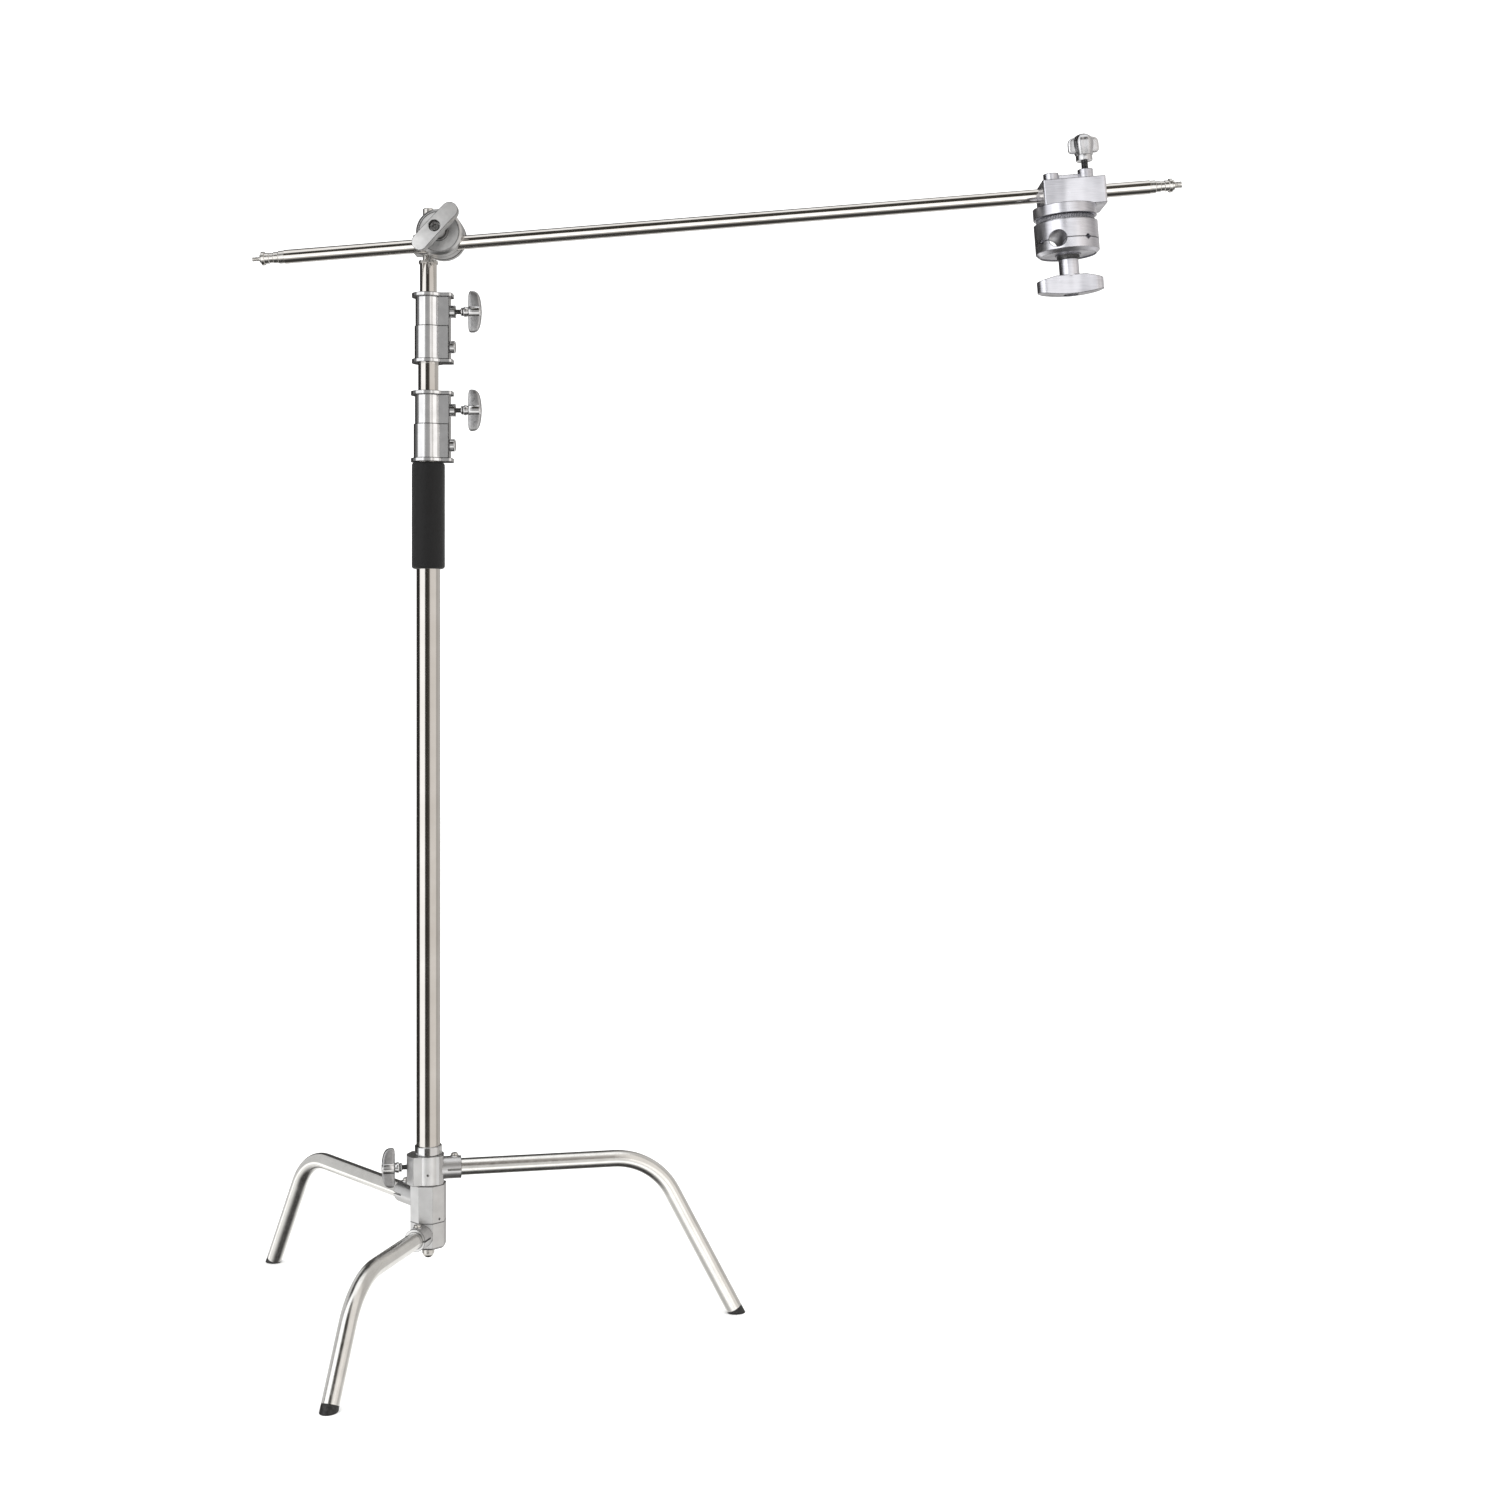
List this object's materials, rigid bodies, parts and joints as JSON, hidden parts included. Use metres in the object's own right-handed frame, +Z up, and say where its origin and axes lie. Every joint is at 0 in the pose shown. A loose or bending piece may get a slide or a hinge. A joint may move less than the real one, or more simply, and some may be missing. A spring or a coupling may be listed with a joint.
{
  "type": "c stand with grip arm",
  "caption": "Telescopic lighting stand on three nesting bent legs, with a grip head, a long tilting arm and a second, larger grip head near the arm's end.",
  "frame": {"origin": "the point on the floor on the axis of the column", "axes": "+Z up along the column, +X towards the long end of the arm, -Y the side of the column on which the arm lies"},
  "size_m": [1.4326, 0.6862, 1.7673],
  "materials": {
    "polished_tube": "polished and satin stainless steel tube",
    "turned_steel": "turned steel, bright",
    "chrome_plate": "bright chrome plate on a casting",
    "cast_knob": "chrome plate on a pebbled die casting",
    "screw_steel": "machine-cut steel screw",
    "plated_fasteners": "nickel-plated screws and nut",
    "satin_casting": "satin die casting",
    "head_casting": "satin die casting",
    "brushed_head": "turned and brushed aluminium",
    "grip_rubber": "matte black foam rubber grip",
    "foot_plug": "black moulded rubber plug",
    "nylon_guide": "natural nylon guide bushing",
    "brass_shoe": "brass pressure shoe"
  },
  "bodies": {
    "column": {"lower_tube": "polished_tube", "grip_sleeve": "grip_rubber", "lower_collar": "chrome_plate", "lower_collar_liner": "nylon_guide", "lower_collar_rivet": "chrome_plate", "lower_lock_shoe": "brass_shoe", "lower_knob_bush": "chrome_plate", "bottom_leg_casting": "satin_casting", "bottom_leg": "polished_tube", "bottom_leg_foot": "foot_plug", "bottom_socket_screw": "plated_fasteners", "base_nut": "plated_fasteners"},
    "middle_leg_unit": {"middle_leg_casting": "satin_casting", "middle_leg": "polished_tube", "middle_leg_foot": "foot_plug", "middle_socket_screw": "plated_fasteners"},
    "leg_slider": {"slide_ring": "chrome_plate"},
    "top_leg_unit": {"top_leg_casting": "satin_casting", "top_leg": "polished_tube", "top_leg_foot": "foot_plug", "top_socket_screw": "plated_fasteners", "base_lock_shoe": "brass_shoe"},
    "base_knob": {"base_knob_screw": "screw_steel", "base_knob_wing": "cast_knob"},
    "lower_knob": {"lower_knob_screw": "screw_steel", "lower_knob_wing": "cast_knob"},
    "middle_riser": {"middle_tube": "polished_tube", "middle_tube_guide": "nylon_guide", "upper_collar": "chrome_plate", "upper_collar_liner": "nylon_guide", "upper_collar_rivet": "chrome_plate", "upper_lock_shoe": "brass_shoe", "upper_knob_bush": "chrome_plate"},
    "upper_knob": {"upper_knob_screw": "screw_steel", "upper_knob_wing": "cast_knob"},
    "top_riser": {"top_tube": "polished_tube", "top_tube_guide": "nylon_guide", "top_stud": "turned_steel"},
    "pivot_mount": {"pivot_receiver": "head_casting"},
    "pivot_lock": {"pivot_lock_screw": "screw_steel", "pivot_lock_wing": "cast_knob"},
    "pivot_jaws": {"pivot_tooth_ring": "head_casting", "pivot_back_jaw": "head_casting", "pivot_bolt": "screw_steel"},
    "pivot_clamp": {"pivot_front_jaw": "head_casting", "pivot_thrust_washer": "screw_steel"},
    "pivot_t_handle": {"pivot_handle": "head_casting"},
    "arm": {"arm_tube": "polished_tube", "arm_large_stud": "turned_steel", "arm_small_stud": "turned_steel"},
    "end_mount": {"end_receiver": "brushed_head"},
    "end_lock": {"end_lock_screw": "screw_steel", "end_lock_wing": "cast_knob"},
    "end_jaws": {"end_tooth_ring": "brushed_head", "end_back_jaw": "brushed_head", "end_bolt": "screw_steel"},
    "end_clamp": {"end_front_jaw": "brushed_head", "end_thrust_washer": "screw_steel"},
    "end_t_handle": {"end_handle": "brushed_head"}
  },
  "joints": [
    {"name": "middle_leg_swing", "type": "hinge", "parent": "column", "child": "middle_leg_unit", "pos_m": [0, 0, 0.198], "axis": [0, 0, 1], "range_deg": [0, 110]},
    {"name": "top_leg_slide", "type": "slide", "parent": "column", "child": "leg_slider", "axis": [0, 0, 1], "range_m": [0, 0.3]},
    {"name": "top_leg_swing", "type": "hinge", "parent": "leg_slider", "child": "top_leg_unit", "pos_m": [0, 0, 0.245], "axis": [0, 0, 1], "range_deg": [-110, 0]},
    {"name": "base_knob_turn", "type": "hinge", "parent": "top_leg_unit", "child": "base_knob", "pos_m": [-0.02934, -0.00624, 0.2485], "axis": [-0.9781, -0.2079, 0], "range_deg": [0, 360]},
    {"name": "lower_knob_turn", "type": "hinge", "parent": "column", "child": "lower_knob", "pos_m": [0.03, 0, 1.369], "axis": [1, 0, 0], "range_deg": [0, 360]},
    {"name": "middle_riser_slide", "type": "slide", "parent": "column", "child": "middle_riser", "axis": [0, 0, 1], "range_m": [0, 0.76]},
    {"name": "upper_knob_turn", "type": "hinge", "parent": "middle_riser", "child": "upper_knob", "pos_m": [0.03, 0, 1.515], "axis": [1, 0, 0], "range_deg": [0, 360]},
    {"name": "top_riser_slide", "type": "slide", "parent": "middle_riser", "child": "top_riser", "axis": [0, 0, 1], "range_m": [0, 0.76]},
    {"name": "pivot_head_pan", "type": "hinge", "parent": "top_riser", "child": "pivot_mount", "pos_m": [0, 0, 1.62034], "axis": [0, 0, 1], "continuous": true},
    {"name": "pivot_lock_turn", "type": "hinge", "parent": "pivot_mount", "child": "pivot_lock", "pos_m": [0, 0.03, 1.61234], "axis": [0, 1, 0], "range_deg": [0, 360]},
    {"name": "pivot_head_tilt", "type": "hinge", "parent": "pivot_mount", "child": "pivot_jaws", "pos_m": [0.026, -0.03, 1.62034], "axis": [0, -1, 0], "range_deg": [-70, 85]},
    {"name": "pivot_jaw_open", "type": "slide", "parent": "pivot_jaws", "child": "pivot_clamp", "axis": [0, -1, 0], "range_m": [0, 0.0031]},
    {"name": "pivot_handle_turn", "type": "hinge", "parent": "pivot_clamp", "child": "pivot_t_handle", "pos_m": [0.026, -0.09, 1.62034], "axis": [0, -1, 0], "range_deg": [0, 720]},
    {"name": "arm_slide", "type": "slide", "parent": "pivot_jaws", "child": "arm", "axis": [0.9968, 0, 0.0803], "range_m": [-0.55, 0.18]},
    {"name": "end_head_swing", "type": "hinge", "parent": "arm", "child": "end_mount", "pos_m": [0.92899, -0.0495, 1.67813], "axis": [0.9968, 0, 0.0803], "range_deg": [-180, 180]},
    {"name": "end_lock_turn", "type": "hinge", "parent": "end_mount", "child": "end_lock", "pos_m": [0.96515, -0.0495, 1.72117], "axis": [-0.0803, 0, 0.9968], "range_deg": [0, 360]},
    {"name": "end_head_jaw_turn", "type": "hinge", "parent": "end_mount", "child": "end_jaws", "pos_m": [0.93301, -0.0769, 1.62829], "axis": [0.0803, 0, -0.9968], "range_deg": [-180, 180]},
    {"name": "end_jaw_open", "type": "slide", "parent": "end_jaws", "child": "end_clamp", "axis": [0.0803, 0, -0.9968], "range_m": [0, 0.0031]},
    {"name": "end_handle_turn", "type": "hinge", "parent": "end_clamp", "child": "end_t_handle", "pos_m": [0.93863, -0.0769, 1.55851], "axis": [0.0803, 0, -0.9968], "range_deg": [0, 720]}
  ],
  "couplings": [
    {"joint": "pivot_jaw_open", "follows": "pivot_handle_turn", "m_per_rad": 0.00023873},
    {"joint": "end_jaw_open", "follows": "end_handle_turn", "m_per_rad": 0.00023873}
  ]
}
